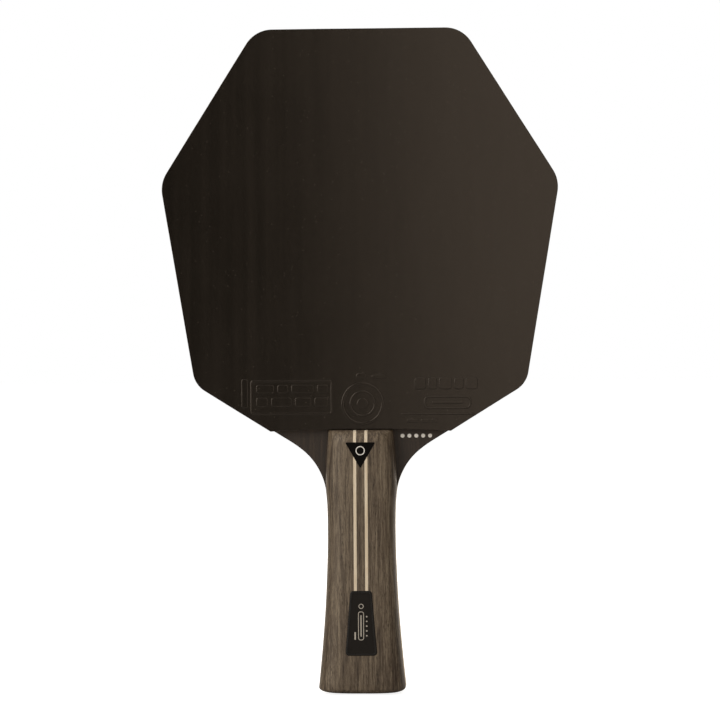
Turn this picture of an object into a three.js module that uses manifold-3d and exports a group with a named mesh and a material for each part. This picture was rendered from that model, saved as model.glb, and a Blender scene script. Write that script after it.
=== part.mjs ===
// Table tennis paddle: a seven-sided head with inverted rubber on both faces, a seven-ply
// carbon blade whose tongue runs through a flared wooden handle, and the handle's inlays.
//
// Millimetres. +Z runs up the handle to the head, +X is right, -Y is the front face.
// The origin is the middle of the flat butt end. Y = 0 is the middle of the blade.
import * as THREE from 'three';
import { mergeVertices } from 'three/addons/utils/BufferGeometryUtils.js';
import { ParametricGeometry } from 'three/addons/geometries/ParametricGeometry.js';
import Module from 'manifold-3d';

const wasm = await Module();
wasm.setup();

// ---------------------------------------------------------------- driving dimensions
const TOTAL_LENGTH = 260;

// Head: half-width, height and fillet radius of each sharp corner of the rubber's outline.
const HEAD_CORNERS = [
  { x: 64.9, z: 120.83, r: 10 }, // lower corner
  { x: 78.2, z: 200.1, r: 12.5 }, // widest corner
  { x: 40.55, z: TOTAL_LENGTH, r: 12 }, // top corner
];
const RUBBER_BOTTOM_Z = 102.45; // ends of the lower edge of both rubbers
const RUBBER_BOTTOM_X = 35.3; // half-width of that edge
const RUBBER_BOTTOM_ARCH = 0.85; // rise of that edge in the middle, over the handle's top
const RUBBER_PROUD = 0.5; // the rubbers are trimmed this far outside the blade
const FILLET_STEPS = 6;

// Blade plies, outwards from the middle.
const CORE_HALF = 1.7;
const CARBON_OUT = 1.95;
const MEDIAL_OUT = 2.5;
const BLADE_HALF = 3.0;

// Rubbers, outwards from the blade.
const SPONGE_OUT = 5.1;
const TOPSHEET_OUT = 6.9;

// Neck and handle outline: [height, half-width] from the butt to where the neck meets the head.
const NECK = [
  [0, 17.22], [5, 16.7], [10, 16.2], [15, 15.72], [20, 15.27], [26, 14.78], [32, 14.34],
  [40, 13.89], [48, 13.55], [56, 13.3], [64, 13.22], [70, 13.29], [75, 13.47], [79.5, 13.95],
  [82, 14.49], [84.2, 15.22], [86.6, 16.28], [88.9, 17.56], [91.3, 19.28], [93.6, 21.38],
  [96, 24.22], [98.3, 27.55], [100.65, 31.4],
];

// Handle halves: [height, half-width] where they leave the neck outline, and
// [height, distance from the blade's middle to the grip face].
const SCALE_TOP_Z = 102.9;
const SCALE_SIDE = [
  [75, 13.45], [79.5, 13.89], [82, 13.96], [85, 13.88], [89, 13.68], [94, 13.38], [98, 13.1], [102.9, 12.8],
];
const SCALE_FACE = [
  [0, 12.3], [10, 12.0], [20, 11.7], [30, 11.45], [40, 11.25], [50, 11.1], [60, 11.0],
  [70, 11.0], [80, 11.1], [90, 11.25], [102.9, 11.4],
];
const SECTION_POWER = 3.1; // squareness of the grip's section
const BUTT_ROUND = { side: 6.5, face: 5.0, height: 2.2 }; // soft edge round the butt end
const TOP_ROUND = { face: 3.6, height: 5.4, side: 0.7, sideHeight: 1.2 }; // soft upper end

// Inlays.
const STRIPE_X = 2.2;
const STRIPE_WIDTH = 1.22;
const STRIPE_DEPTH = 1.3;
const STRIPE_BOTTOM_Z = 40.4;
const BADGE = { width: 11.7, top: 98.2, bottom: 88.1, depth: 0.9, proud: 0.15, round: 0.3 };
const LENS = { bottom: 15.2, top: 40.4, bottomWidth: 12.45, topWidth: 8.35, round: 1.3, depth: 1.4, proud: 0.2 };
const FIT = 0.06; // glue line round an inlay

// ---------------------------------------------------------------- curves
// A smooth curve through [t, value] knots, as a function of t.
function through(knots) {
  const n = knots.length;
  const slope = knots.map((k, i) => {
    const a = knots[Math.max(i - 1, 0)];
    const b = knots[Math.min(i + 1, n - 1)];
    return (b[1] - a[1]) / (b[0] - a[0]);
  });
  return (t) => {
    let i = 0;
    while (i < n - 2 && t > knots[i + 1][0]) i += 1;
    const [t0, v0] = knots[i];
    const [t1, v1] = knots[i + 1];
    const h = t1 - t0;
    const u = (t - t0) / h;
    const u2 = u * u;
    const u3 = u2 * u;
    return (2 * u3 - 3 * u2 + 1) * v0 + (u3 - 2 * u2 + u) * h * slope[i]
      + (-2 * u3 + 3 * u2) * v1 + (u3 - u2) * h * slope[i + 1];
  };
}

const neckWidth = through(NECK);
const scaleSide = through(SCALE_SIDE);
const scaleFace = through(SCALE_FACE);

// How far a quarter-ellipse edge has come in at a distance from its flat end.
const roundIn = (size, height, d) => (d >= height ? 0 : size * (1 - Math.sqrt(Math.max(0, 1 - ((height - d) / height) ** 2))));

// Half-width of the blade's tongue, and of a handle half, with the butt's soft edge.
const tongueHalf = (z) => neckWidth(z) - roundIn(BUTT_ROUND.side, BUTT_ROUND.height, z);
function gripHalf(z) {
  const side = z < 79.5 ? neckWidth(z) : scaleSide(z);
  return side - roundIn(BUTT_ROUND.side, BUTT_ROUND.height, z)
    - roundIn(TOP_ROUND.side, TOP_ROUND.sideHeight, SCALE_TOP_Z - z);
}
const gripFace = (z) => scaleFace(z) - roundIn(BUTT_ROUND.face, BUTT_ROUND.height, z)
  - roundIn(TOP_ROUND.face, TOP_ROUND.height, SCALE_TOP_Z - z);

// ---------------------------------------------------------------- outlines
// Points along the fillet of a corner between two straight edges.
function fillet(before, corner, after, radius, steps) {
  const a = new THREE.Vector2().subVectors(before, corner).normalize();
  const b = new THREE.Vector2().subVectors(after, corner).normalize();
  const half = Math.acos(THREE.MathUtils.clamp(a.dot(b), -1, 1)) / 2;
  const reach = radius / Math.tan(half);
  const centre = new THREE.Vector2().addVectors(a, b).normalize().multiplyScalar(radius / Math.sin(half)).add(corner);
  const start = a.clone().multiplyScalar(reach).add(corner).sub(centre);
  const end = b.clone().multiplyScalar(reach).add(corner).sub(centre);
  const from = Math.atan2(start.y, start.x);
  let turn = Math.atan2(end.y, end.x) - from;
  if (turn > Math.PI) turn -= 2 * Math.PI;
  if (turn < -Math.PI) turn += 2 * Math.PI;
  const out = [];
  for (let i = 0; i <= steps; i += 1) {
    const t = from + (turn * i) / steps;
    out.push(new THREE.Vector2(centre.x + radius * Math.cos(t), centre.y + radius * Math.sin(t)));
  }
  return out;
}

// Moves the head's sharp corners inwards by a distance measured square to the edges.
function insetCorners(inset) {
  const foot = { x: RUBBER_BOTTOM_X, z: RUBBER_BOTTOM_Z };
  const path = [foot, ...HEAD_CORNERS, { x: -HEAD_CORNERS[2].x, z: TOTAL_LENGTH }];
  const lines = [];
  for (let i = 0; i + 1 < path.length; i += 1) {
    const p = new THREE.Vector2(path[i].x, path[i].z);
    const d = new THREE.Vector2(path[i + 1].x, path[i + 1].z).sub(p).normalize();
    const inward = new THREE.Vector2(-d.y, d.x);
    lines.push({ p: p.addScaledVector(inward, inset), d });
  }
  const cross = (a, b) => a.x * b.y - a.y * b.x;
  return HEAD_CORNERS.map((c, i) => {
    const l = lines[i];
    const m = lines[i + 1];
    const t = cross(new THREE.Vector2().subVectors(m.p, l.p), m.d) / cross(l.d, m.d);
    return { corner: l.p.clone().addScaledVector(l.d, t), r: c.r - inset };
  });
}

// The right half of the head from its lower slant up to the middle of the top edge.
function headSide(inset) {
  const corners = insetCorners(inset);
  const foot = new THREE.Vector2(RUBBER_BOTTOM_X, RUBBER_BOTTOM_Z);
  const topMiddle = new THREE.Vector2(0, corners[2].corner.y);
  const stops = [foot, ...corners.map((c) => c.corner), topMiddle];
  return corners.flatMap((c, i) => fillet(stops[i], stops[i + 1], stops[i + 2], c.r, FILLET_STEPS));
}

const mirrored = (half) => [...half, ...half.slice().reverse().map((p) => new THREE.Vector2(-p.x, p.y))];

const rubberOutline = mirrored([
  ...[6, 12, 18, 24, 30, RUBBER_BOTTOM_X].map((x) => (
    new THREE.Vector2(x, RUBBER_BOTTOM_Z + RUBBER_BOTTOM_ARCH * (1 - (x / RUBBER_BOTTOM_X) ** 2)))),
  ...headSide(0),
]);

const BUTT_STEPS = 5;
const buttRows = Array.from({ length: BUTT_STEPS + 1 }, (_, i) => BUTT_ROUND.height * (1 - Math.cos((i / BUTT_STEPS) * Math.PI / 2)));
const TONGUE_ROWS = [10, 20, 30, 40, 52, 64, 70, 75, 79.5, 82, 84.2, 86.6, 88.9, 91.3, 93.6, 96, 98.3, 100.65];
const bladeOutline = mirrored([
  ...[...buttRows, ...TONGUE_ROWS].map((z) => new THREE.Vector2(tongueHalf(z), z)),
  ...headSide(RUBBER_PROUD),
]);

// ---------------------------------------------------------------- solids
// A flat plate of an outline in X and Z, between two exact planes in Y.
function plate(outline, yFront, yBack) {
  const geometry = new THREE.ExtrudeGeometry(new THREE.Shape(outline), { depth: 1, bevelEnabled: false, steps: 1 });
  const p = geometry.attributes.position;
  for (let i = 0; i < p.count; i += 1) p.setXYZ(i, p.getX(i), p.getZ(i) > 0.5 ? yFront : yBack, p.getY(i));
  return geometry;
}

// A bar of an outline in Y and Z, between two planes in X.
function bar(outline, xFrom, xTo) {
  const geometry = new THREE.ExtrudeGeometry(new THREE.Shape(outline), { depth: 1, bevelEnabled: false, steps: 1 });
  const p = geometry.attributes.position;
  for (let i = 0; i < p.count; i += 1) p.setXYZ(i, p.getZ(i) > 0.5 ? xTo : xFrom, p.getX(i), p.getY(i));
  return geometry;
}

// Only positions, shared corners merged, no thin triangles, faces out.
function tidy(geometry) {
  const bare = geometry.index ? geometry.clone() : geometry;
  for (const name of Object.keys(bare.attributes)) if (name !== 'position') bare.deleteAttribute(name);
  bare.clearGroups();
  const merged = mergeVertices(bare, 1e-5);
  const p = merged.attributes.position;
  const src = merged.index.array;
  const kept = [];
  let volume = 0;
  const v = [new THREE.Vector3(), new THREE.Vector3(), new THREE.Vector3()];
  for (let i = 0; i < src.length; i += 3) {
    const [a, b, c] = [src[i], src[i + 1], src[i + 2]];
    if (a === b || b === c || c === a) continue;
    kept.push(a, b, c);
    v.forEach((q, k) => q.fromBufferAttribute(p, src[i + k]));
    volume += v[0].dot(new THREE.Vector3().crossVectors(v[1], v[2])) / 6;
  }
  if (volume < 0) for (let i = 0; i < kept.length; i += 3) [kept[i + 1], kept[i + 2]] = [kept[i + 2], kept[i + 1]];
  const out = new THREE.BufferGeometry();
  out.setAttribute('position', new THREE.BufferAttribute(new Float32Array(p.array), 3));
  out.setIndex(kept);
  return out;
}

function solid(geometry) {
  const g = tidy(geometry);
  return new wasm.Manifold(new wasm.Mesh({
    numProp: 3,
    vertProperties: new Float32Array(g.attributes.position.array),
    triVerts: new Uint32Array(g.index.array),
  }));
}

function shell(manifold) {
  const mesh = manifold.getMesh();
  const g = new THREE.BufferGeometry();
  g.setAttribute('position', new THREE.BufferAttribute(new Float32Array(mesh.vertProperties), 3));
  g.setIndex([...mesh.triVerts]);
  return g;
}

// Turns a front piece into the matching back piece, half a turn about the handle's axis.
function toBack(geometry) {
  const g = geometry.clone();
  const p = g.attributes.position;
  for (let i = 0; i < p.count; i += 1) p.setXYZ(i, -p.getX(i), -p.getY(i), p.getZ(i));
  return g;
}

// ---------------------------------------------------------------- handle half
// Rows up the handle and points round its D-shaped section. The flat side lies on the blade.
const topRows = [0, 0.35, 0.6, 0.8, 0.93, 1].map((t) => SCALE_TOP_Z - TOP_ROUND.height * (1 - t));
const GRIP_ROWS = [...buttRows, 10, 20, 30, 40, 50, 60, 70, 75, 79.5, 82, 85, 91, ...topRows];
const ARC_STEPS = 20;

function sectionPoint(z, k, target) {
  const w = gripHalf(z);
  const t = gripFace(z) - BLADE_HALF;
  const turn = k > ARC_STEPS ? 0 : (k / ARC_STEPS) * Math.PI;
  const c = Math.abs(Math.cos(turn));
  const s = k === 0 || k >= ARC_STEPS ? 0 : Math.sin(turn);
  const r = (c ** SECTION_POWER + s ** SECTION_POWER) ** (-1 / SECTION_POWER);
  const x = w * r * c * (turn > Math.PI / 2 ? -1 : 1);
  target.set(x, -(BLADE_HALF + t * r * s), z);
}

const around = ARC_STEPS + 1;
const stacks = GRIP_ROWS.length + 1;
const gripSurface = new ParametricGeometry((u, v, target) => {
  const row = Math.round(v * stacks);
  const z = GRIP_ROWS[THREE.MathUtils.clamp(row - 1, 0, GRIP_ROWS.length - 1)];
  if (row === 0 || row === stacks) target.set(0, -BLADE_HALF - 2, z);
  else sectionPoint(z, Math.round(u * around) % around === 0 && u > 0.5 ? around : Math.round(u * around), target);
}, around, stacks);
const gripBlank = solid(gripSurface);

// A bar that follows the grip face, to cut or fill an inlaid stripe.
function stripeBar(xMiddle, halfWidth, depth, zBottom) {
  const rows = [zBottom, 46, 55, 65, 75, 85, 93, ...topRows.slice(0, -1), SCALE_TOP_Z - 0.03];
  const floor = rows.map((z) => new THREE.Vector2(-(gripFace(z) - depth), z));
  floor.push(new THREE.Vector2(floor[floor.length - 1].x, SCALE_TOP_Z + 1));
  return solid(bar([
    ...floor,
    new THREE.Vector2(-16, SCALE_TOP_Z + 1),
    new THREE.Vector2(-16, zBottom),
  ], xMiddle - halfWidth, xMiddle + halfWidth));
}

const grooves = [-STRIPE_X, STRIPE_X].map((x) => stripeBar(x, STRIPE_WIDTH / 2, STRIPE_DEPTH, STRIPE_BOTTOM_Z));
const fills = [-STRIPE_X, STRIPE_X].map((x) => stripeBar(x, STRIPE_WIDTH / 2 - FIT, STRIPE_DEPTH - FIT, STRIPE_BOTTOM_Z + FIT));

// An outline with every corner rounded.
function rounded(points, radius, steps) {
  return points.flatMap((p, i) => fillet(points[(i + points.length - 1) % points.length], p, points[(i + 1) % points.length], radius, steps));
}

// The triangular badge, point down, and the pocket that holds it.
const badgeOutline = (grow) => rounded([
  new THREE.Vector2(0, BADGE.bottom - grow * 2),
  new THREE.Vector2(BADGE.width / 2 + grow * 2, BADGE.top + grow),
  new THREE.Vector2(-BADGE.width / 2 - grow * 2, BADGE.top + grow),
], BADGE.round, 3);
const badgeFace = gripFace((BADGE.top + BADGE.bottom) / 2) + BADGE.proud;
const badgeFloor = badgeFace - BADGE.proud - BADGE.depth;
const badge = plate(badgeOutline(0), -badgeFace, -(badgeFloor + FIT));
const badgePocket = solid(plate(badgeOutline(FIT), -16, -badgeFloor));

// The lens plate lies in a pocket parallel to the flaring grip face.
const lensMiddle = (LENS.top + LENS.bottom) / 2;
const lensLean = -Math.atan2(gripFace(LENS.bottom) - gripFace(LENS.top), LENS.top - LENS.bottom);
const lensOutline = (grow) => {
  const h = (LENS.top - LENS.bottom) / 2;
  return rounded([
    new THREE.Vector2(-LENS.bottomWidth / 2 - grow, -h - grow),
    new THREE.Vector2(LENS.bottomWidth / 2 + grow, -h - grow),
    new THREE.Vector2(LENS.topWidth / 2 + grow, h + grow),
    new THREE.Vector2(-LENS.topWidth / 2 - grow, h + grow),
  ], LENS.round, 4);
};
const lens = plate(lensOutline(0), -LENS.proud, LENS.depth - FIT * 2);
const lensPocketShape = plate(lensOutline(FIT), -6, LENS.depth);
const lensPlace = new THREE.Matrix4().makeRotationX(lensLean).setPosition(0, -gripFace(lensMiddle), lensMiddle);
const lensPocket = solid(lensPocketShape.clone().applyMatrix4(lensPlace));

const backScale = gripBlank.subtract(grooves[0]).subtract(grooves[1]);
const frontScale = backScale.subtract(badgePocket).subtract(lensPocket);
const backStripes = fills.map((f) => gripBlank.intersect(f));
const frontStripes = backStripes.map((s) => s.subtract(solid(plate(badgeOutline(FIT * 2), -16, -(badgeFloor - 0.02)))));

// ---------------------------------------------------------------- finishes
const finish = (color, roughness, metalness = 0) => () => new THREE.MeshStandardMaterial({ color, roughness, metalness });
const coreWood = finish(0xd8c193, 0.62);
const carbon = finish(0x17181a, 0.4, 0.1);
const medialWood = finish(0xcbb184, 0.62);
const outerWood = finish(0x372e25, 0.48);
const gripWood = finish(0x61533f, 0.55);
const stripeWood = finish(0xd3c3a0, 0.55);
const blackPlate = finish(0x0b0b0c, 0.3);
const lensBlack = finish(0x24201b, 0.28);
const blackRubber = finish(0x2c2620, 0.42);
const redRubber = finish(0xa3141b, 0.42);
const sponge = finish(0xcfa24e, 0.9);

// ---------------------------------------------------------------- assembly
const paddle = new THREE.Group();

function add(name, geometry, material, parent = paddle) {
  const mesh = new THREE.Mesh(tidy(geometry), material());
  mesh.name = name;
  parent.add(mesh);
  return mesh;
}

// Blade: a light core between carbon, medial and dark outer plies, all cut to one outline.
add('core_ply', plate(bladeOutline, -CORE_HALF, CORE_HALF), coreWood);
add('front_carbon_ply', plate(bladeOutline, -CARBON_OUT, -CORE_HALF), carbon);
add('back_carbon_ply', plate(bladeOutline, CORE_HALF, CARBON_OUT), carbon);
add('front_medial_ply', plate(bladeOutline, -MEDIAL_OUT, -CARBON_OUT), medialWood);
add('back_medial_ply', plate(bladeOutline, CARBON_OUT, MEDIAL_OUT), medialWood);
add('front_outer_ply', plate(bladeOutline, -BLADE_HALF, -MEDIAL_OUT), outerWood);
add('back_outer_ply', plate(bladeOutline, MEDIAL_OUT, BLADE_HALF), outerWood);

// Rubbers: a sponge and a topsheet on each face, trimmed together.
add('front_sponge', plate(rubberOutline, -SPONGE_OUT, -BLADE_HALF), sponge);
add('front_topsheet', plate(rubberOutline, -TOPSHEET_OUT, -SPONGE_OUT), blackRubber);
add('back_sponge', plate(rubberOutline, BLADE_HALF, SPONGE_OUT), sponge);
add('back_topsheet', plate(rubberOutline, SPONGE_OUT, TOPSHEET_OUT), redRubber);

// Handle: two shaped halves glued over the tongue, with pale stripes inlaid in both.
add('front_handle_half', shell(frontScale), gripWood);
add('back_handle_half', toBack(shell(backScale)), gripWood);
add('front_left_stripe', shell(frontStripes[0]), stripeWood);
add('front_right_stripe', shell(frontStripes[1]), stripeWood);
add('back_left_stripe', toBack(shell(backStripes[1])), stripeWood);
add('back_right_stripe', toBack(shell(backStripes[0])), stripeWood);

// Front of the handle: the triangular badge and the lens plate.
add('handle_badge', badge, blackPlate);
const lensSeat = new THREE.Group();
lensSeat.position.set(0, -gripFace(lensMiddle), lensMiddle);
lensSeat.rotation.x = lensLean;
paddle.add(lensSeat);
add('handle_lens', lens, lensBlack, lensSeat);

export default paddle;
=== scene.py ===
"""The looks of a table tennis paddle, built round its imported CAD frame.

Metres, +Z up the handle to the head, +X right, -Y the front (dark) face.
Shapes repeat the CAD's own dimensions, at a finer grain: real pips under both topsheets, rounded and
cut edges, laminated plies, inlays let into their grooves, and plain raised marks on the rubbers.
"""
import math

import bmesh
import bpy
import numpy as np
from mathutils import Matrix, Vector, noise


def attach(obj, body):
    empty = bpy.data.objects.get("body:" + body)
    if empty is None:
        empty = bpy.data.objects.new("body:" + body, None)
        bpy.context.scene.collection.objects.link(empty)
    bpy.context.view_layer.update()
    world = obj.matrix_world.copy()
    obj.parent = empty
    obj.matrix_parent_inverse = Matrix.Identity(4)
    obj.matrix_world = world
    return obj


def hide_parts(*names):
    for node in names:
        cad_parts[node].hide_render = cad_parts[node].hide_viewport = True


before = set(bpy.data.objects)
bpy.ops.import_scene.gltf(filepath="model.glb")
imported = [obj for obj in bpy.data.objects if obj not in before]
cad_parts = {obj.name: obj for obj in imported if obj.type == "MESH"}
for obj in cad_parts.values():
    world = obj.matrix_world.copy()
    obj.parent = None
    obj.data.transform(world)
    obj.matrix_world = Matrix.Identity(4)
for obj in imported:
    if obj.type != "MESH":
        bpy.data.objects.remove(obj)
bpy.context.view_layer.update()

MM = 0.001

# ------------------------------------------------------------------ dimensions, in millimetres
TOTAL = 260.0
HEAD_CORNERS = [(64.9, 120.83, 10.0), (78.2, 200.1, 12.5), (40.55, TOTAL, 12.0)]
RUBBER_BOTTOM_Z, RUBBER_BOTTOM_X, RUBBER_ARCH, RUBBER_PROUD = 102.45, 35.3, 0.85, 0.5
CORE_HALF, CARBON_OUT, MEDIAL_OUT, BLADE_HALF = 1.7, 1.95, 2.5, 3.0
SPONGE_OUT, PIP_OUT, TOPSHEET_OUT = 5.1, 6.0, 6.9
NECK = [
    (0, 17.22), (5, 16.7), (10, 16.2), (15, 15.72), (20, 15.27), (26, 14.78), (32, 14.34), (40, 13.89), (48, 13.55),
    (56, 13.3), (64, 13.22), (70, 13.29), (75, 13.47), (79.5, 13.95), (82, 14.49), (84.2, 15.22), (86.6, 16.28),
    (88.9, 17.56), (91.3, 19.28), (93.6, 21.38), (96, 24.22), (98.3, 27.55), (100.65, 31.4),
]
SCALE_TOP = 102.9
SCALE_SIDE = [(75, 13.45), (79.5, 13.89), (82, 13.96), (85, 13.88), (89, 13.68), (94, 13.38), (98, 13.1), (102.9, 12.8)]
SCALE_FACE = [
    (0, 12.3), (10, 12.0), (20, 11.7), (30, 11.45), (40, 11.25), (50, 11.1), (60, 11.0), (70, 11.0), (80, 11.1),
    (90, 11.25), (102.9, 11.4),
]
SECTION_POWER = 3.1
BUTT_SIDE, BUTT_FACE, BUTT_H = 6.5, 5.0, 2.2
TOP_FACE, TOP_H, TOP_SIDE, TOP_SIDE_H = 3.6, 5.4, 0.7, 1.2
STRIPE_X, STRIPE_W, STRIPE_DEPTH, STRIPE_BOTTOM = 2.2, 1.22, 1.3, 40.4
BADGE_W, BADGE_TOP, BADGE_BOTTOM, BADGE_DEPTH, BADGE_PROUD, BADGE_R = 11.7, 98.2, 88.1, 0.9, 0.15, 0.3
LENS_BOTTOM, LENS_TOP, LENS_BW, LENS_TW, LENS_R, LENS_DEPTH, LENS_PROUD = 15.2, 40.4, 12.45, 8.35, 1.3, 1.4, 0.2


# ------------------------------------------------------------------ curves
def through(knots):
    """A smooth curve through (t, value) knots."""
    n = len(knots)
    slope = []
    for i in range(n):
        a, b = knots[max(i - 1, 0)], knots[min(i + 1, n - 1)]
        slope.append((b[1] - a[1]) / (b[0] - a[0]))

    def at(t):
        i = 0
        while i < n - 2 and t > knots[i + 1][0]:
            i += 1
        (t0, v0), (t1, v1) = knots[i], knots[i + 1]
        h = t1 - t0
        u = (t - t0) / h
        u2, u3 = u * u, u * u * u
        return (
            (2 * u3 - 3 * u2 + 1) * v0 + (u3 - 2 * u2 + u) * h * slope[i]
            + (-2 * u3 + 3 * u2) * v1 + (u3 - u2) * h * slope[i + 1]
        )

    return at


neck_width, scale_side, scale_face = through(NECK), through(SCALE_SIDE), through(SCALE_FACE)


def round_in(size, height, d):
    return 0.0 if d >= height else size * (1 - math.sqrt(max(0.0, 1 - ((height - d) / height) ** 2)))


def tongue_half(z):
    return neck_width(z) - round_in(BUTT_SIDE, BUTT_H, z)


def grip_half(z):
    side = neck_width(z) if z < 79.5 else scale_side(z)
    return side - round_in(BUTT_SIDE, BUTT_H, z) - round_in(TOP_SIDE, TOP_SIDE_H, SCALE_TOP - z)


def grip_face(z):
    return scale_face(z) - round_in(BUTT_FACE, BUTT_H, z) - round_in(TOP_FACE, TOP_H, SCALE_TOP - z)


# ------------------------------------------------------------------ outlines, as (x, z) arrays
def fillet(before, corner, after, radius, steps):
    a, b = np.subtract(before, corner), np.subtract(after, corner)
    a, b = a / np.linalg.norm(a), b / np.linalg.norm(b)
    half = math.acos(float(np.clip(a @ b, -1, 1))) / 2
    mid = (a + b) / np.linalg.norm(a + b)
    centre = np.array(corner) + mid * radius / math.sin(half)
    s, e = np.array(corner) + a * radius / math.tan(half) - centre, np.array(corner) + b * radius / math.tan(half) - centre
    from_, turn = math.atan2(s[1], s[0]), math.atan2(e[1], e[0]) - math.atan2(s[1], s[0])
    turn = (turn + math.pi) % (2 * math.pi) - math.pi
    return [(centre[0] + radius * math.cos(from_ + turn * i / steps), centre[1] + radius * math.sin(from_ + turn * i / steps)) for i in range(steps + 1)]


def inset_corners(inset):
    path = [(RUBBER_BOTTOM_X, RUBBER_BOTTOM_Z)] + [(x, z) for x, z, _ in HEAD_CORNERS] + [(-HEAD_CORNERS[2][0], TOTAL)]
    lines = []
    for p, q in zip(path, path[1:]):
        p, q = np.array(p), np.array(q)
        d = (q - p) / np.linalg.norm(q - p)
        lines.append((p + inset * np.array([-d[1], d[0]]), d))
    out = []
    for (lp, ld), (mp, md), c in zip(lines, lines[1:], HEAD_CORNERS):
        w = mp - lp
        t = (w[0] * md[1] - w[1] * md[0]) / (ld[0] * md[1] - ld[1] * md[0])
        out.append((tuple(lp + t * ld), c[2] - inset))
    return out


def head_side(inset, steps=16):
    corners = inset_corners(inset)
    stops = [(RUBBER_BOTTOM_X, RUBBER_BOTTOM_Z)] + [c for c, _ in corners] + [(0.0, corners[2][0][1])]
    return [p for i, (c, r) in enumerate(corners) for p in fillet(stops[i], stops[i + 1], stops[i + 2], r, steps)]


def mirrored(half):
    return np.array(list(half) + [(-x, z) for x, z in reversed(half)])


def spaced(points, step, closed=True):
    """The same outline with long edges cut, so that no edge is longer than step."""
    out, n = [], len(points)
    for i in range(n if closed else n - 1):
        p, q = np.array(points[i]), np.array(points[(i + 1) % n])
        k = max(1, math.ceil(np.linalg.norm(q - p) / step))
        out += [p + (q - p) * j / k for j in range(k)]
    if not closed:
        out.append(np.array(points[-1]))
    return np.array(out)


def moved(points, by):
    """A closed outline moved inwards by a small distance (outwards where by is negative). It runs anticlockwise."""
    p = np.asarray(points, float)
    e = np.roll(p, -1, 0) - p
    e /= np.linalg.norm(e, axis=1)[:, None]
    n = np.stack([-e[:, 1], e[:, 0]], 1)
    m = n + np.roll(n, 1, 0)
    m /= np.linalg.norm(m, axis=1)[:, None]
    c = np.maximum(0.5, (m * n).sum(1))
    by = np.broadcast_to(np.asarray(by, float), (len(p),))
    return p + m * (by / c)[:, None]


def rounded(points, radius, steps=5):
    n = len(points)
    return np.array([q for i in range(n) for q in fillet(points[i - 1], points[i], points[(i + 1) % n], radius, steps)])


def circle(x, z, r, steps=48):
    t = np.arange(steps) / steps * 2 * math.pi
    return np.stack([x + r * np.cos(t), z + r * np.sin(t)], 1)


def slab(x0, z0, x1, z1, r, steps=5):
    return rounded([(x0, z0), (x1, z0), (x1, z1), (x0, z1)], r, steps)


arch = [(x, RUBBER_BOTTOM_Z + RUBBER_ARCH * (1 - (x / RUBBER_BOTTOM_X) ** 2)) for x in (6, 12, 18, 24, 30, RUBBER_BOTTOM_X)]
rubber_outline = mirrored(arch + head_side(0.0))
pip_outline = mirrored([(RUBBER_BOTTOM_X + 1.61 * RUBBER_ARCH, RUBBER_BOTTOM_Z + RUBBER_ARCH)] + head_side(0.0))  # convex
butt_rows = [BUTT_H * (1 - math.cos(i / 12 * math.pi / 2)) for i in range(13)]
tongue_rows = list(np.arange(4.0, 74.1, 2.5)) + list(np.arange(76.0, 100.6, 0.6))
blade_outline = mirrored([(tongue_half(z), z) for z in butt_rows + tongue_rows] + head_side(RUBBER_PROUD))


# ------------------------------------------------------------------ meshes
def piece(name, verts, faces, mat, smooth=32, mats=(), weighted=True):
    """A closed mesh of the object, in millimetres, riding on the one body."""
    me = bpy.data.meshes.new(name)
    me.from_pydata([tuple(float(c) * MM for c in v) for v in verts], [], [tuple(f) for f in faces])
    bm = bmesh.new()
    bm.from_mesh(me)
    bmesh.ops.recalc_face_normals(bm, faces=bm.faces)
    bm.to_mesh(me)
    bm.free()
    ob = bpy.data.objects.new(name, me)
    bpy.context.scene.collection.objects.link(ob)
    return dressed(ob, mat, smooth, mats, weighted)


def dressed(ob, mat, smooth=32, mats=(), weighted=True):
    me = ob.data
    me.materials.clear()
    me.materials.append(mat)
    for m in mats:
        me.materials.append(m)
    me.polygons.foreach_set("use_smooth", [True] * len(me.polygons))
    me.set_sharp_from_angle(angle=math.radians(smooth))
    if weighted:
        mod = ob.modifiers.new("normals", "WEIGHTED_NORMAL")
        mod.keep_sharp = True
        mod.weight = 80
    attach(ob, "root")
    return ob


class Build:
    """Collects closed shells into one mesh."""

    def __init__(self):
        self.v, self.f, self.n = [], [], 0

    def add(self, verts, faces):
        self.v.append(np.asarray(verts, float))
        self.f += [tuple(i + self.n for i in f) for f in faces]
        self.n += len(verts)

    def rings(self, rings):
        """A closed shell through rings of 3-D points, one after another, capped at both ends."""
        k = len(rings[0])
        faces = [tuple(range(k - 1, -1, -1)), tuple(range(k * (len(rings) - 1), k * len(rings)))]
        for j in range(len(rings) - 1):
            a, b = j * k, (j + 1) * k
            faces += [(a + i, a + (i + 1) % k, b + (i + 1) % k, b + i) for i in range(k)]
        self.add(np.concatenate(rings), faces)

    def loop(self, rings):
        """A closed shell like a tube joined end to end: the last ring meets the first."""
        k, m = len(rings[0]), len(rings)
        faces = []
        for j in range(m):
            a, b = j * k, ((j + 1) % m) * k
            faces += [(a + i, a + (i + 1) % k, b + (i + 1) % k, b + i) for i in range(k)]
        self.add(np.concatenate(rings), faces)

    def verts(self):
        return np.concatenate(self.v)


def at(outline, y):
    o = np.asarray(outline, float)
    y = np.broadcast_to(np.asarray(y, float), (len(o),))
    return np.stack([o[:, 0], y, o[:, 1]], 1)


def turned(v, side):
    """Front geometry as it is, or half a turn about the handle's axis for the back."""
    v = np.array(v, float)
    if side == "back":
        v[:, 0] *= -1
        v[:, 1] *= -1
    return v


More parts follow.
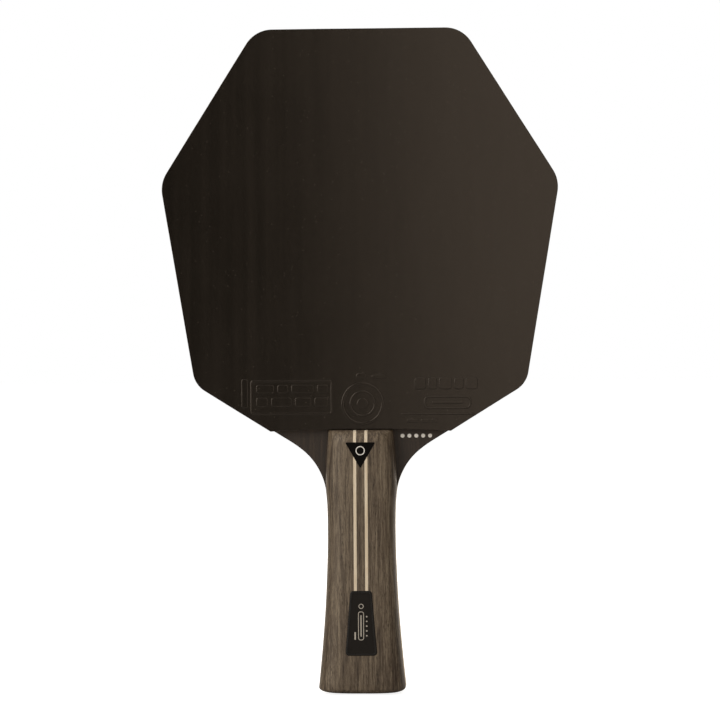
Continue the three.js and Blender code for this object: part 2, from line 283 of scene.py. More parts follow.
# ------------------------------------------------------------------ materials
class Mat:
    """A node material whose patterns are read in the object's own coordinates, in millimetres."""

    def __init__(self, name):
        self.m = bpy.data.materials.new(name)
        self.m.use_nodes = True
        self.t = self.m.node_tree
        self.t.nodes.clear()
        self.out = self.t.nodes.new("ShaderNodeOutputMaterial")
        self.p = self.t.nodes.new("ShaderNodeBsdfPrincipled")
        self.t.links.new(self.p.outputs[0], self.out.inputs["Surface"])
        self.tc = self.t.nodes.new("ShaderNodeTexCoord")

    def link(self, a, b):
        self.t.links.new(a, b)

    def put(self, socket, v):
        if isinstance(v, bpy.types.NodeSocket):
            self.t.links.new(v, socket)
        elif v is not None:
            socket.default_value = v

    def space(self, scale=(1, 1, 1), move=(0, 0, 0), turn=(0, 0, 0)):
        n = self.t.nodes.new("ShaderNodeMapping")
        n.inputs["Scale"].default_value = tuple(1000 * s for s in scale)
        n.inputs["Location"].default_value = move
        n.inputs["Rotation"].default_value = turn
        self.link(self.tc.outputs["Object"], n.inputs["Vector"])
        return n.outputs[0]

    def noise(self, where, scale=1.0, detail=4.0, rough=0.55, warp=0.0):
        n = self.t.nodes.new("ShaderNodeTexNoise")
        self.link(where, n.inputs["Vector"])
        for k, v in (("Scale", scale), ("Detail", detail), ("Roughness", rough), ("Distortion", warp)):
            n.inputs[k].default_value = v
        return n.outputs["Fac"]

    def cells(self, where, scale=1.0, random=1.0, feature="F1"):
        n = self.t.nodes.new("ShaderNodeTexVoronoi")
        n.feature = feature
        self.link(where, n.inputs["Vector"])
        n.inputs["Scale"].default_value = scale
        n.inputs["Randomness"].default_value = random
        return n.outputs["Distance"]

    def ramp(self, fac, stops, ease="LINEAR"):
        n = self.t.nodes.new("ShaderNodeValToRGB")
        n.color_ramp.interpolation = ease
        e = n.color_ramp.elements
        while len(e) < len(stops):
            e.new(0.5)
        for el, (pos, c) in zip(e, stops):
            el.position = pos
            el.color = (c, c, c, 1) if isinstance(c, (int, float)) else (*c, 1)
        self.put(n.inputs["Fac"], fac)
        return n.outputs["Color"]

    def mix(self, fac, a, b, how="MIX"):
        n = self.t.nodes.new("ShaderNodeMix")
        n.data_type = "RGBA"
        n.blend_type = how
        n.clamp_result = False
        for s, v in ((n.inputs[0], fac), (n.inputs[6], a), (n.inputs[7], b)):
            if isinstance(v, tuple):
                v = (*v, 1.0)
            self.put(s, v)
        return n.outputs[2]

    def sum(self, how, a, b=None, c=None):
        n = self.t.nodes.new("ShaderNodeMath")
        n.operation = how
        for s, v in zip(n.inputs, (a, b, c)):
            self.put(s, v)
        return n.outputs[0]

    def part(self, where, axis):
        n = self.t.nodes.new("ShaderNodeSeparateXYZ")
        self.link(where, n.inputs[0])
        return n.outputs["XYZ".index(axis)]

    def bump(self, height, distance_mm, strength=1.0, under=None):
        n = self.t.nodes.new("ShaderNodeBump")
        n.inputs["Strength"].default_value = strength
        n.inputs["Distance"].default_value = distance_mm * MM
        self.link(height, n.inputs["Height"])
        if under is not None:
            self.link(under, n.inputs["Normal"])
        return n.outputs[0]

    def set(self, **kw):
        names = {
            "color": "Base Color", "rough": "Roughness", "metal": "Metallic", "spec": "Specular IOR Level", "coat": "Coat Weight",
            "coat_rough": "Coat Roughness", "sheen": "Sheen Weight", "sheen_rough": "Sheen Roughness", "normal": "Normal", "sss": "Subsurface Weight",
            "sheen_tint": "Sheen Tint", "tint": "Specular Tint",
        }
        for k, v in kw.items():
            if isinstance(v, tuple):
                v = (*v, 1.0)
            self.put(self.p.inputs[names[k]], v)
        return self.m


def lin(r, g, b):
    """An sRGB colour of 0 to 255 as linear light."""
    return tuple(c / 12.92 if c <= 0.04045 else ((c + 0.055) / 1.055) ** 2.4 for c in (r / 255, g / 255, b / 255))


def timber(name, dark, base, light, pore, grain=1.0, pores=0.5, rough=0.55, bands=0.35, along="z", seed=0.0, coat=0.0, bump=0.03, spec=0.4, crisp=1.0, spread=0.14):
    """Wood whose fibres run along one axis: broad streaks, fine lines, hair-fine fibres and open pores."""
    w = Mat(name)
    turn = {"z": lambda across, down: (across, across, down), "x": lambda across, down: (down, across, across)}[along]
    mv = (seed, seed * 1.7, seed * 0.6)
    broad = w.noise(w.space(turn(1, 0.04), mv), bands, 3, 0.5, 0.6)
    lines = w.noise(w.space(turn(1, 0.034), mv), 1.35 * grain, 3, 0.6, 0.25)
    fibre = w.noise(w.space(turn(1, 0.075), mv), 3.0 * grain, 4, 0.65)
    hair = w.noise(w.space(turn(1, 0.03), mv), 9.0 * grain, 3, 0.6)
    tone = w.sum("ADD", w.sum("MULTIPLY", broad, 0.22), w.sum("ADD", w.sum("MULTIPLY", lines, 0.38), w.sum("ADD", w.sum("MULTIPLY", fibre, 0.30), w.sum("MULTIPLY", hair, 0.10))))
    colour = w.ramp(tone, [(0.5 - spread / crisp, dark), (0.5, base), (0.5 + spread / crisp, light)])
    # Open pores: long thin pits, thick in some growth bands and thin in others, with finer ones between.
    where = w.noise(w.space(turn(1, 0.03), mv), 0.8 * grain, 2, 0.5)
    gate = w.ramp(where, [(0.42, 0.0), (0.6, 1.0)])
    big = w.ramp(w.cells(w.space(turn(2.0 * grain, 0.36), mv), 1.0, 1.0), [(0.16, 1.0), (0.34, 0.0)])
    small = w.ramp(w.cells(w.space(turn(4.4 * grain, 0.8), mv), 1.0, 1.0), [(0.14, 1.0), (0.34, 0.0)])
    pit = w.sum("MAXIMUM", w.sum("MULTIPLY", big, w.sum("ADD", w.sum("MULTIPLY", gate, 0.85), 0.15)), w.sum("MULTIPLY", small, 0.55))
    colour = w.mix(w.sum("MULTIPLY", pit, pores), colour, pore)
    height = w.sum("SUBTRACT", w.sum("ADD", w.sum("MULTIPLY", fibre, 0.5), w.sum("MULTIPLY", hair, 0.3)), w.sum("MULTIPLY", pit, 1.1 * pores))
    r = w.sum("ADD", rough, w.sum("ADD", w.sum("MULTIPLY", w.sum("SUBTRACT", lines, 0.5), 0.3), w.sum("MULTIPLY", pit, 0.18)))
    return w.set(color=colour, rough=r, normal=w.bump(height, bump, 0.6), coat=coat, coat_rough=0.35, spec=spec)


core_wood = timber("core_wood", lin(196, 168, 116), lin(222, 197, 148), lin(236, 216, 172), lin(150, 118, 74), 0.9, 0.35, 0.66, seed=3.1)
medial_wood = timber("medial_wood", lin(178, 146, 98), lin(204, 174, 124), lin(222, 196, 148), lin(132, 100, 62), 1.2, 0.35, 0.64, along="x", seed=7.3)
outer_wood = timber("outer_wood", lin(24, 18, 13), lin(39, 30, 23), lin(55, 44, 34), lin(14, 11, 9), 1.25, 0.55, 0.5, bands=0.5, seed=11.9, bump=0.02)
grip_wood = timber("grip_wood", lin(51, 40, 30), lin(89, 77, 63), lin(123, 111, 94), lin(24, 18, 13), 1.0, 0.8, 0.52, bands=0.3, seed=5.7, bump=0.05, crisp=1.45)
stripe_wood = timber("stripe_wood", lin(196, 177, 149), lin(214, 202, 181), lin(228, 219, 204), lin(190, 152, 112), 1.6, 0.3, 0.52, seed=9.2, bump=0.015)


def carbon_ply():
    """The cut edge of a woven carbon ply: black, with short bright tow ends."""
    w = Mat("carbon_ply")
    p = w.space((0.5, 6, 0.5), (2, 0, 5))
    n = w.noise(p, 1.6, 4, 0.6)
    weave = w.cells(w.space((0.45, 1, 0.45)), 1.0, 0.25)
    tone = w.sum("ADD", w.sum("MULTIPLY", n, 0.7), w.sum("MULTIPLY", weave, 0.35))
    colour = w.ramp(tone, [(0.3, lin(14, 14, 15)), (0.62, lin(34, 34, 36)), (0.85, lin(74, 74, 78))])
    return w.set(color=colour, rough=w.ramp(n, [(0.3, 0.5), (0.7, 0.3)]), normal=w.bump(n, 0.03, 0.5), spec=0.5)


def rubber(name, deep, base, lift, rough=0.45, spec=0.35, seed=0.0, tint=(1, 1, 1)):
    """A moulded topsheet: even colour, faint streaks down the sheet, fine dust and a soft skin."""
    w = Mat(name)
    streak = w.noise(w.space((0.32, 0.32, 0.006), (seed, 0, seed)), 1.0, 3, 0.5)
    cloud = w.noise(w.space((1, 1, 1), (seed, 3, 0)), 0.03, 2, 0.45)
    skin = w.noise(w.space((1, 1, 1), (0, seed, 0)), 9.0, 3, 0.6)
    dust = w.noise(w.space((1, 1, 1), (seed, 9, 4)), 2.1, 5, 0.7)
    tone = w.sum("ADD", w.sum("MULTIPLY", streak, 0.4), w.sum("ADD", w.sum("MULTIPLY", cloud, 0.25), w.sum("MULTIPLY", skin, 0.35)))
    colour = w.ramp(tone, [(0.3, deep), (0.5, base), (0.7, lift)])
    mote = w.ramp(w.cells(w.space((1, 1, 1), (2, seed, 7)), 0.42, 1.0), [(0.045, 1.0), (0.075, 0.0)])
    colour = w.mix(w.sum("MULTIPLY", mote, 0.12), colour, lin(150, 140, 126))
    r = w.sum("ADD", rough, w.sum("ADD", w.sum("MULTIPLY", w.sum("SUBTRACT", streak, 0.5), 0.07), w.sum("ADD", w.sum("MULTIPLY", w.sum("SUBTRACT", cloud, 0.5), 0.05), w.sum("ADD", w.sum("MULTIPLY", w.sum("SUBTRACT", dust, 0.5), 0.10), w.sum("MULTIPLY", mote, 0.12)))))
    wave = w.noise(w.space((1, 1, 0.25), (4, seed, 0)), 0.09, 2, 0.5)
    n = w.bump(skin, 0.012, 0.5, w.bump(wave, 0.10, 0.35))
    return w.set(color=colour, rough=r, normal=n, spec=spec, tint=tint)


black_rubber = rubber("black_rubber", lin(13, 11, 8), lin(17, 14, 10), lin(21, 17, 13), 0.21, 0.50, tint=(1.0, 0.88, 0.78))
red_rubber = rubber("red_rubber", lin(138, 12, 16), lin(150, 15, 19), lin(162, 20, 24), 0.30, 0.45, seed=6.0)


def foam():
    """Cut sponge: warm yellow, open cells of a few tenths of a millimetre, with painted shade inside the cells."""
    w = Mat("sponge_foam")
    warp = w.noise(w.space((1, 1, 1)), 0.8, 2, 0.5)
    big = w.cells(w.space((1, 1, 1), (1, 2, 3)), 3.4, 1.0)
    small = w.cells(w.space((1, 1, 1), (5, 1, 2)), 8.5, 1.0)
    pit = w.sum("MULTIPLY", w.ramp(big, [(0.12, 0.0), (0.42, 1.0)]), w.ramp(small, [(0.05, 0.35), (0.4, 1.0)]))
    colour = w.mix(w.sum("MULTIPLY", warp, 0.6), lin(226, 182, 104), lin(240, 204, 134))
    # Painted shade: the colour goes to a darker orange inside the open cells, where shade would fall.
    colour = w.mix(w.sum("MULTIPLY", w.sum("SUBTRACT", 1.0, pit), 0.8), colour, lin(176, 124, 58))
    return w.set(color=colour, rough=0.92, normal=w.bump(pit, 0.16, 0.8), spec=0.2, sss=0.0)


sponge_foam = foam()


def plate_finish(name, base, edge, rough, spec=0.5, speck=0.5):
    """Moulded or lacquered plate: fine orange-peel and faint handling marks in the gloss."""
    w = Mat(name)
    peel = w.noise(w.space((1, 1, 1)), 3.0, 3, 0.5)
    fine = w.noise(w.space((1, 1, 1), (7, 1, 4)), 16.0, 3, 0.6)
    rub = w.noise(w.space((1, 1, 0.2), (2, 6, 1)), 0.9, 5, 0.7, 1.2)
    colour = w.mix(w.ramp(rub, [(0.35, 0.0), (0.7, 1.0)]), base, edge)
    r = w.sum("ADD", rough, w.sum("ADD", w.sum("MULTIPLY", w.sum("SUBTRACT", rub, 0.5), 0.22), w.sum("MULTIPLY", w.sum("SUBTRACT", fine, 0.5), 0.12 * speck)))
    return w.set(color=colour, rough=r, normal=w.bump(fine, 0.008, 0.5, w.bump(peel, 0.02, 0.35)), spec=spec)


badge_black = plate_finish("badge_black", lin(5, 4, 3), lin(8, 6, 5), 0.36, 0.08)
lens_rim = plate_finish("lens_rim", lin(9, 7, 6), lin(13, 11, 9), 0.30, 0.35)
lens_field = plate_finish("lens_field", lin(16, 13, 10), lin(21, 17, 14), 0.42, 0.20)
print_pale = plate_finish("print_pale", lin(216, 215, 211), lin(231, 230, 227), 0.50, 0.4)
print_grey = plate_finish("print_grey", lin(160, 155, 147), lin(182, 177, 168), 0.50, 0.4)


# ------------------------------------------------------------------ blade
def ply(name, node, near, far, mat, inset=0.0, soft=False):
    """One ply of the pressed board between two distances from its middle, on the front (-) or back (+)."""
    o = moved(blade_outline, inset)
    side = 1 if near + far > 0 else -1
    b = Build()
    if soft:  # the outer ply's outer edge is sanded round where fingers reach it
        z = o[:, 1]
        r = 0.04 + 0.36 * np.clip((z - 80.0) / 4.0, 0, 1) ** 2
        r = np.minimum(r, 0.42)
        rings = [at(moved(o, 0.03), near), at(o, near + side * 0.03)]
        for t in np.linspace(0, math.pi / 2, 6):
            rings.append(at(moved(o, r * (1 - math.cos(t))), far - side * r * (1 - math.sin(t))))
    else:
        rings = [at(moved(o, 0.03), near), at(o, near + side * 0.03), at(o, far - side * 0.03), at(moved(o, 0.03), far)]
    b.rings(rings)
    ob = piece(name, b.verts(), b.f, mat)
    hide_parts(node)
    return ob


ply("ply_core", "core_ply", -CORE_HALF, CORE_HALF, core_wood)
for s, side in ((-1, "front"), (1, "back")):
    ply(f"ply_carbon_{side}", f"{side}_carbon_ply", s * CORE_HALF, s * CARBON_OUT, carbon_ply(), inset=0.05)
    ply(f"ply_medial_{side}", f"{side}_medial_ply", s * CARBON_OUT, s * MEDIAL_OUT, medial_wood)
    ply(f"ply_outer_{side}", f"{side}_outer_ply", s * MEDIAL_OUT, s * BLADE_HALF, outer_wood, soft=True)


# ------------------------------------------------------------------ rubbers
cut_outline = spaced(rubber_outline, 1.6)


def wobble(seed, size, pitch):
    """Small uneven steps of a hand-held knife along the cut."""
    return np.array([size * noise.noise(Vector((x / pitch, z / pitch, seed))) for x, z in cut_outline])


def sponge(side):
    b = Build()
    rings = []
    for k, (d, inward) in enumerate(((BLADE_HALF, 0.0), (3.3, 0.05), (3.8, 0.09), (4.4, 0.07), (4.9, 0.03), (SPONGE_OUT, 0.0))):
        edge = moved(cut_outline, inward + wobble(3.0 + 0.5 * k, 0.05, 3.0) + wobble(9.0, 0.06, 25.0))
        rings.append(turned(at(edge, -d), side))
    b.rings(rings)
    ob = piece(f"sponge_{side}", b.verts(), b.f, sponge_foam, smooth=50)
    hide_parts(f"{side}_sponge")
    return ob


def clipped(poly, lines):
    """The part of a convex polygon on the inner side of every line (point, inward normal)."""
    for p, n in lines:
        out = []
        d = (poly - p) @ n
        for i in range(len(poly)):
            j = (i + 1) % len(poly)
            if d[i] >= 0:
                out.append(poly[i])
            if (d[i] >= 0) != (d[j] >= 0):
                out.append(poly[i] + (poly[j] - poly[i]) * d[i] / (d[i] - d[j]))
        if len(out) < 3:
            return None
        poly = np.array(out)
    return poly


def area(p):
    return 0.5 * abs(np.dot(p[:, 0], np.roll(p[:, 1], -1)) - np.dot(p[:, 1], np.roll(p[:, 0], -1)))


PIP_PITCH, PIP_R = 2.1, 0.84


def pips(b, side):
    """Rows of short round pips from the sheet in to the sponge, cut through where the knife met them."""
    o = pip_outline
    e = np.roll(o, -1, 0) - o
    n = np.stack([-e[:, 1], e[:, 0]], 1) / np.linalg.norm(e, axis=1)[:, None]
    row, z = 0, RUBBER_BOTTOM_Z + 0.3
    while z < TOTAL + 1:
        x0 = -80 + (PIP_PITCH / 2 if row % 2 else 0)
        for x in np.arange(x0, 80, PIP_PITCH):
            c = np.array([x, z])
            d = ((c - o) * n).sum(1)
            if d.min() < -PIP_R:
                continue
            steps = 8 if d.min() > PIP_R + 2.5 else 12
            poly = circle(x, z, PIP_R, steps)
            if d.min() < PIP_R:
                near = [(o[i], n[i]) for i in np.nonzero(d < PIP_R)[0]]
                poly = clipped(poly, near)
                if poly is None or area(poly) < 0.12:
                    continue
                keep = np.linalg.norm(np.roll(poly, -1, 0) - poly, axis=1) > 1e-4
                poly = poly[keep]
                if len(poly) < 3:
                    continue
            b.rings([turned(at(poly, -(PIP_OUT + 0.04)), side), turned(at(poly, -SPONGE_OUT), side)])
        z += PIP_PITCH * math.sqrt(3) / 2
        row += 1


RAISE, SLOPE = 0.15, 0.40


def mark(b, side, outline, h=RAISE, s=SLOPE):
    """A plain raised shape on the topsheet, with rounded sides."""
    o = np.asarray(outline)
    rings = [at(o, -(TOPSHEET_OUT - 0.05)), at(o, -TOPSHEET_OUT)]
    rings += [at(moved(o, s * (1 - math.cos(t))), -(TOPSHEET_OUT + h * math.sin(t))) for t in (0.5, 0.95, 1.3, math.pi / 2)]
    b.rings([turned(r, side) for r in rings])


def frame_mark(b, side, outline, width, h=RAISE, s=SLOPE):
    """A plain raised border."""
    o = np.asarray(outline)
    s = min(s, width * 0.42)
    steps = (0.5, 0.95, 1.3, math.pi / 2)
    rings = [at(o, -(TOPSHEET_OUT - 0.05)), at(o, -TOPSHEET_OUT)]
    rings += [at(moved(o, s * (1 - math.cos(t))), -(TOPSHEET_OUT + h * math.sin(t))) for t in steps]
    rings += [at(moved(o, width - s * (1 - math.cos(t))), -(TOPSHEET_OUT + h * math.sin(t))) for t in reversed(steps)]
    rings += [at(moved(o, width), -TOPSHEET_OUT), at(moved(o, width), -(TOPSHEET_OUT - 0.05))]
    b.loop([turned(r, side) for r in rings])


def marks(b, side):
    """The moulded band above the straight edge: borders, bars and rings with no lettering."""
    mark(b, side, slab(-46.7, 111.6, -44.0, 123.0, 0.7))
    frame_mark(b, side, slab(-43.2, 108.9, -10.8, 122.6, 1.2), 0.9)
    for z, h, widths in ((117.4, 3.3, (7.2, 4.4, 9.0, 4.6)), (112.1, 3.6, (4.8, 8.2, 6.6, 5.6))):
        x = -40.9
        for w in widths:
            mark(b, side, slab(x, z, x + w, z + h, 0.8))
            x += w + 1.1
    frame_mark(b, side, circle(0.9, 113.2, 8.4, 72), 1.2)
    frame_mark(b, side, circle(0.9, 113.2, 5.2, 56), 0.9)
    mark(b, side, circle(0.9, 113.2, 2.3, 36))
    mark(b, side, slab(-1.6, 122.7, 2.4, 125.3, 1.1))
    mark(b, side, slab(4.4, 122.9, 10.0, 124.6, 0.7))
    x = 21.2
    for w in (4.4, 3.4, 5.0, 3.6, 4.6):
        mark(b, side, slab(x, 118.6, x + w, 123.4, 1.0))
        x += w + 0.9
    frame_mark(b, side, slab(24.8, 110.9, 43.4, 116.2, 2.0), 0.85)
    mark(b, side, slab(28.0, 112.9, 40.2, 114.2, 0.6))
    mark(b, side, slab(16.0, 108.7, 44.4, 109.5, 0.35))
    for x, w in ((18.2, 4.4), (23.6, 3.2), (27.8, 2.2)):
        mark(b, side, slab(x, 105.6, x + w, 107.3, 0.6))


def topsheet(side, mat):
    b = Build()
    edge = moved(cut_outline, wobble(9.0, 0.06, 25.0))
    rings = [at(edge, -PIP_OUT), at(edge, -(TOPSHEET_OUT - 0.16))]
    for t in (0.4, 0.8, 1.2, math.pi / 2):
        rings.append(at(moved(edge, 0.16 * (1 - math.cos(t))), -(TOPSHEET_OUT - 0.16 * (1 - math.sin(t)))))
    b.rings([turned(r, side) for r in rings])
    marks(b, side)
    pips(b, side)
    ob = piece(f"topsheet_{side}", b.verts(), b.f, mat, smooth=40)
    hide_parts(f"{side}_topsheet")
    return ob


for side, mat, slot in (("front", black_rubber, "black_rubber"), ("back", red_rubber, "red_rubber")):
    sponge(side)
    topsheet(side, mat)


# ------------------------------------------------------------------ handle
def section(z, steps=64):
    """The D-shaped section of a handle half at a height, its flat side on the blade."""
    w, t = grip_half(z), grip_face(z) - BLADE_HALF
    pts = []
    for k in range(steps + 1):
        a = k / steps * math.pi
        c, s = abs(math.cos(a)), (0.0 if k in (0, steps) else math.sin(a))
        r = (c**SECTION_POWER + s**SECTION_POWER) ** (-1 / SECTION_POWER)
        pts.append((w * r * c * (-1 if a > math.pi / 2 else 1), -(BLADE_HALF + t * r * s), z))
    return np.array(pts)


grip_rows = [BUTT_H * (1 - math.cos(i / 10 * math.pi / 2)) for i in range(11)] + list(np.arange(5.0, 96.0, 3.0))
grip_rows += [SCALE_TOP - TOP_H * (1 - math.sin(i / 14 * math.pi / 2)) for i in range(15)]


def loose(name, build, side="front"):
    """A plain mesh object, not yet a piece."""
    me = bpy.data.meshes.new(name)
    me.from_pydata([tuple(float(c) * MM for c in v) for v in turned(build.verts(), side)], [], build.f)
    bm = bmesh.new()
    bm.from_mesh(me)
    bmesh.ops.recalc_face_normals(bm, faces=bm.faces)
    bm.to_mesh(me)
    bm.free()
    ob = bpy.data.objects.new(name, me)
    bpy.context.scene.collection.objects.link(ob)
    return ob


def carve(ob, tools, how="DIFFERENCE"):
    """Cuts or keeps the tools' shapes in ob, and makes the result its mesh."""
    for t in tools:
        m = ob.modifiers.new("cut", "BOOLEAN")
        m.operation, m.object, m.solver = how, t, "EXACT"
    bpy.context.view_layer.update()
    done = bpy.data.meshes.new_from_object(ob.evaluated_get(bpy.context.evaluated_depsgraph_get()))
    ob.modifiers.clear()
    old = ob.data
    ob.data = done
    bpy.data.meshes.remove(old)
    for t in tools:
        bpy.data.objects.remove(t)
    return ob


def half_blank():
    b = Build()
    b.rings([section(z) for z in grip_rows])
    return b


def stripe_bar(x, half, depth, bottom):
    """A bar that follows the grip face, from its floor out past the wood."""
    rows = [bottom] + [z for z in np.arange(42.0, 96.0, 2.0)] + [z for z in grip_rows if z > 96.5]
    rows[-1] = SCALE_TOP - 0.02
    floor = [(-(grip_face(z) - depth), z) for z in rows]
    prof = floor + [(floor[-1][0], SCALE_TOP + 1), (-16, SCALE_TOP + 1), (-16, bottom)]
    b = Build()
    b.rings([np.array([(xx, y, z) for y, z in prof]) for xx in (x - half, x + half)])
    return b


FIT = 0.035
grow = lambda o, d: moved(o, -d)
badge_outline = rounded([(0, BADGE_BOTTOM), (BADGE_W / 2, BADGE_TOP), (-BADGE_W / 2, BADGE_TOP)], BADGE_R, 6)
badge_face = grip_face((BADGE_TOP + BADGE_BOTTOM) / 2) + BADGE_PROUD
badge_floor = badge_face - BADGE_PROUD - BADGE_DEPTH
lens_mid, lens_h = (LENS_TOP + LENS_BOTTOM) / 2, (LENS_TOP - LENS_BOTTOM) / 2
lens_lean = -math.atan2(grip_face(LENS_BOTTOM) - grip_face(LENS_TOP), LENS_TOP - LENS_BOTTOM)
lens_outline = rounded([(-LENS_BW / 2, -lens_h), (LENS_BW / 2, -lens_h), (LENS_TW / 2, lens_h), (-LENS_TW / 2, lens_h)], LENS_R, 8)


def on_lens(v):
    """From the lens plate's own place, face at Y = 0, to the object."""
    v = np.array(v, float)
    c, s = math.cos(lens_lean), math.sin(lens_lean)
    return np.stack([v[:, 0], v[:, 1] * c - v[:, 2] * s - grip_face(lens_mid), v[:, 1] * s + v[:, 2] * c + lens_mid], 1)


def badge_pocket(extra=0.0, up=0.0):
    b = Build()
    o = grow(badge_outline, FIT + extra)
    b.rings([at(o, -(badge_floor - up)), at(o, -16)])
    return b


def lens_pocket():
    b = Build()
    o = grow(lens_outline, FIT)
    b.rings([on_lens(at(o, LENS_DEPTH)), on_lens(at(o, -5))])
    return b


for side in ("front", "back"):
    half = loose(f"grip_{side}", half_blank(), side)
    tools = [loose("cut", stripe_bar(x, STRIPE_W / 2, STRIPE_DEPTH, STRIPE_BOTTOM), side) for x in (-STRIPE_X, STRIPE_X)]
    if side == "front":
        tools += [loose("cut", badge_pocket()), loose("cut", lens_pocket())]
    carve(half, tools)
    dressed(half, grip_wood, smooth=38, weighted=False)
    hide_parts(f"{side}_handle_half")
    for x, which in ((-STRIPE_X, "left"), (STRIPE_X, "right")):
        bar = loose(f"stripe_{side}_{which}", stripe_bar(x if side == "front" else -x, STRIPE_W / 2 - FIT, STRIPE_DEPTH - FIT, STRIPE_BOTTOM + FIT), side)
        carve(bar, [loose("blank", half_blank(), side)], "INTERSECT")
        if side == "front":
            carve(bar, [loose("cut", badge_pocket(0.02, 0.02))])
        dressed(bar, stripe_wood, smooth=38, weighted=False)
        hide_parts(f"{side}_{which}_stripe")

# The badge: a satin black triangle with a rounded rim and one plain ring.
b = Build()
rim = 0.28
rings = [at(badge_outline, -(badge_floor + FIT)), at(badge_outline, -(badge_face - rim))]
rings += [at(moved(badge_outline, rim * (1 - math.cos(t))), -(badge_face - rim * (1 - math.sin(t)))) for t in (0.4, 0.8, 1.2, math.pi / 2)]
b.rings(rings)
badge = piece("badge_triangle", b.verts(), b.f, badge_black)
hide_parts("handle_badge")
b = Build()
o = circle(0.0, 95.0, 1.8, 56)
b.loop([at(o, -(badge_face - 0.02)), at(moved(o, 0.03), -(badge_face + 0.03)), at(moved(o, 0.35), -(badge_face + 0.03)), at(moved(o, 0.38), -(badge_face - 0.02))])
piece("badge_ring", b.verts(), b.f, print_pale)

# The lens plate: a raised rim round a sunk field.
b = Build()
lip, sunk = 0.42, 0.16
rings = [at(lens_outline, LENS_DEPTH - FIT), at(lens_outline, -(LENS_PROUD - lip))]
rings += [at(moved(lens_outline, lip * (1 - math.cos(t))), -(LENS_PROUD - lip * (1 - math.sin(t)))) for t in (0.3, 0.6, 0.9, 1.2, math.pi / 2)]
rings += [at(moved(lens_outline, 0.68), -LENS_PROUD), at(moved(lens_outline, 0.76), -(LENS_PROUD - 0.03)), at(moved(lens_outline, 0.84), -(LENS_PROUD - sunk))]
b.rings([on_lens(r) for r in rings])
lens = piece("lens_plate", b.verts(), b.f, lens_rim, mats=(lens_field,))
k = len(lens_outline)
for p in lens.data.polygons:
    if len(p.vertices) == k and min(p.vertices) >= k:
        p.material_index = 1
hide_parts("handle_lens")


def lens_print(name, shapes):
    """Plain printed shapes in the lens plate's field."""
    b = Build()
    low, high = -(LENS_PROUD - sunk) + 0.02, -(LENS_PROUD - sunk) - 0.03
    for kind, o, w in shapes:
        if kind == "solid":
            b.rings([on_lens(at(o, low)), on_lens(at(moved(o, 0.02), high))])
        else:
            b.loop([on_lens(at(q, y)) for q, y in ((o, low), (moved(o, 0.02), high), (moved(o, w - 0.02), high), (moved(o, w), low))])
    return piece(name, b.verts(), b.f, print_grey)


z0 = -lens_mid
lens_print("lens_marks", [
    ("border", slab(-1.2, 21.2 + z0, 1.1, 32.4 + z0, 0.9), 0.30),
    ("solid", slab(-0.28, 22.6 + z0, 0.18, 31.0 + z0, 0.2), 0),
    ("solid", slab(-2.65, 21.4 + z0, -2.05, 24.4 + z0, 0.25), 0),
    ("border", circle(0.0, 34.4 + z0, 1.0, 36), 0.28),
] + [("solid", circle(2.15, 23.0 + z0 + 1.85 * i, 0.32, 20), 0) for i in range(5)])

# Five plain dots printed on the front of the right shoulder.
b = Build()
for x in (16.3, 19.0, 21.7, 24.4, 27.1):
    o = circle(x, 100.5, 0.8, 28)
    b.rings([at(o, -(BLADE_HALF - 0.02)), at(moved(o, 0.03), -(BLADE_HALF + 0.025))])
piece("shoulder_dots", b.verts(), b.f, print_pale)


# ------------------------------------------------------------------ stage, light and camera
def sweep(name):
    """A white studio floor that runs out to the white of the surroundings, so that no horizon shows."""
    w = Mat(name)
    p = w.space((1, 1, 1))
    n = w.t.nodes.new("ShaderNodeVectorMath")
    n.operation = "LENGTH"
    w.link(p, n.inputs[0])
    far = w.ramp(w.sum("DIVIDE", n.outputs["Value"], 1200.0), [(0.1, 0.0), (0.75, 1.0)], "EASE")
    grain = w.noise(w.space((1, 1, 1)), 0.02, 3, 0.5)
    w.set(color=w.mix(w.sum("MULTIPLY", grain, 0.1), (0.56, 0.56, 0.56), (0.53, 0.53, 0.53)), rough=0.9, spec=0.0)
    w.p.inputs["Emission Color"].default_value = (1, 1, 1, 1)
    ray = w.t.nodes.new("ShaderNodeLightPath")
    w.put(w.p.inputs["Emission Strength"], w.sum("MULTIPLY", ray.outputs["Is Camera Ray"], w.sum("ADD", FLOOR_NEAR, w.sum("MULTIPLY", far, 1.0 - FLOOR_NEAR))))
    return w.m


FLOOR_NEAR = 0.86
me = bpy.data.meshes.new("floor")
bm = bmesh.new()
bmesh.ops.create_circle(bm, cap_ends=True, segments=96, radius=14.0)
bm.to_mesh(me)
bm.free()
me.materials.append(sweep("floor_white"))
floor = bpy.data.objects.new("floor", me)
floor.location = (0, 0, -0.0004)
bpy.context.scene.collection.objects.link(floor)

scene = bpy.context.scene
scene.view_settings.view_transform = "Standard"
scene.view_settings.look = "None"
scene.view_settings.exposure = 0.0
scene.view_settings.gamma = 1.0

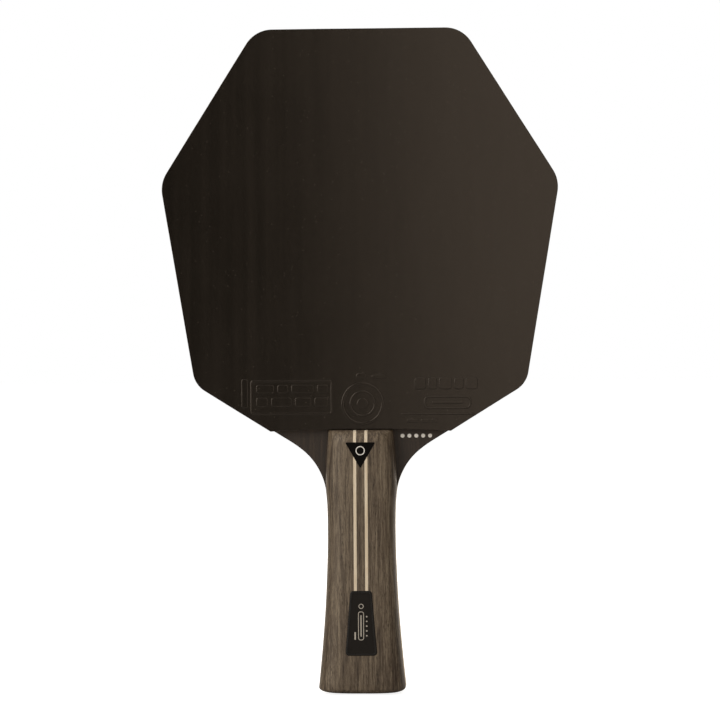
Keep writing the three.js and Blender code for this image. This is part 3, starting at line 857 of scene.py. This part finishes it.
world = bpy.data.worlds.new("studio")
scene.world = world
world.use_nodes = True
nt = world.node_tree
nt.nodes.clear()
out = nt.nodes.new("ShaderNodeOutputWorld")
seen, light = nt.nodes.new("ShaderNodeBackground"), nt.nodes.new("ShaderNodeBackground")
seen.inputs["Color"].default_value = (1, 1, 1, 1)
seen.inputs["Strength"].default_value = 1.0
light.inputs["Color"].default_value = (1.0, 0.93, 0.84, 1)
light.inputs["Strength"].default_value = 0.02
path, mixer = nt.nodes.new("ShaderNodeLightPath"), nt.nodes.new("ShaderNodeMixShader")
nt.links.new(path.outputs["Is Camera Ray"], mixer.inputs[0])
nt.links.new(light.outputs[0], mixer.inputs[1])
nt.links.new(seen.outputs[0], mixer.inputs[2])
nt.links.new(mixer.outputs[0], out.inputs["Surface"])

AIM = Vector((-0.00037, 0.0, 0.1303))


def panel(name, azimuth, elevation, distance, width, height, power, colour=(1, 1, 1), aim=AIM):
    """A soft rectangular lamp; azimuth 0 is in front of the object, and it grows to the right."""
    a, e = math.radians(azimuth), math.radians(elevation)
    d = Vector((math.sin(a) * math.cos(e), -math.cos(a) * math.cos(e), math.sin(e)))
    data = bpy.data.lights.new(name, "AREA")
    data.shape, data.size, data.size_y, data.energy, data.color = "RECTANGLE", width, height, power, colour
    ob = bpy.data.objects.new(name, data)
    ob.location = aim + d * distance
    ob.rotation_euler = d.to_track_quat("Z", "Y").to_euler()
    scene.collection.objects.link(ob)
    return ob


WARM = (1.0, 0.93, 0.84)
panel("key_left", -43, 22, 1.2, 0.7, 1.1, 11.2, WARM)
panel("front_right", 14.9, 18, 1.2, 0.72, 1.2, 3.3, (1.0, 0.89, 0.77))
panel("top", 0, 82, 1.3, 1.0, 1.0, 4.2, WARM)
panel("side_right", 124, 14, 1.3, 0.7, 1.1, 1.9, WARM)
panel("back_left", -146, 22, 1.3, 0.8, 1.1, 11, WARM)
panel("back_right", 154, 18, 1.3, 0.9, 1.1, 9, WARM)

DISTANCE, SPAN = 1.0, 0.28352
cam = bpy.data.cameras.new("camera")
cam.sensor_fit, cam.sensor_width = "HORIZONTAL", 36.0
cam.lens = 36.0 * DISTANCE / SPAN
cam.dof.use_dof = False
cam.clip_start, cam.clip_end = 0.02, 60
camera = bpy.data.objects.new("camera", cam)
a = math.radians(2.6)
d = Vector((math.sin(a), -math.cos(a), 0.0))
camera.location = AIM + d * DISTANCE
camera.rotation_euler = (d.to_track_quat("Z", "Y").to_matrix() @ Matrix.Rotation(math.radians(-0.34), 3, "Z")).to_euler()
scene.collection.objects.link(camera)
scene.camera = camera
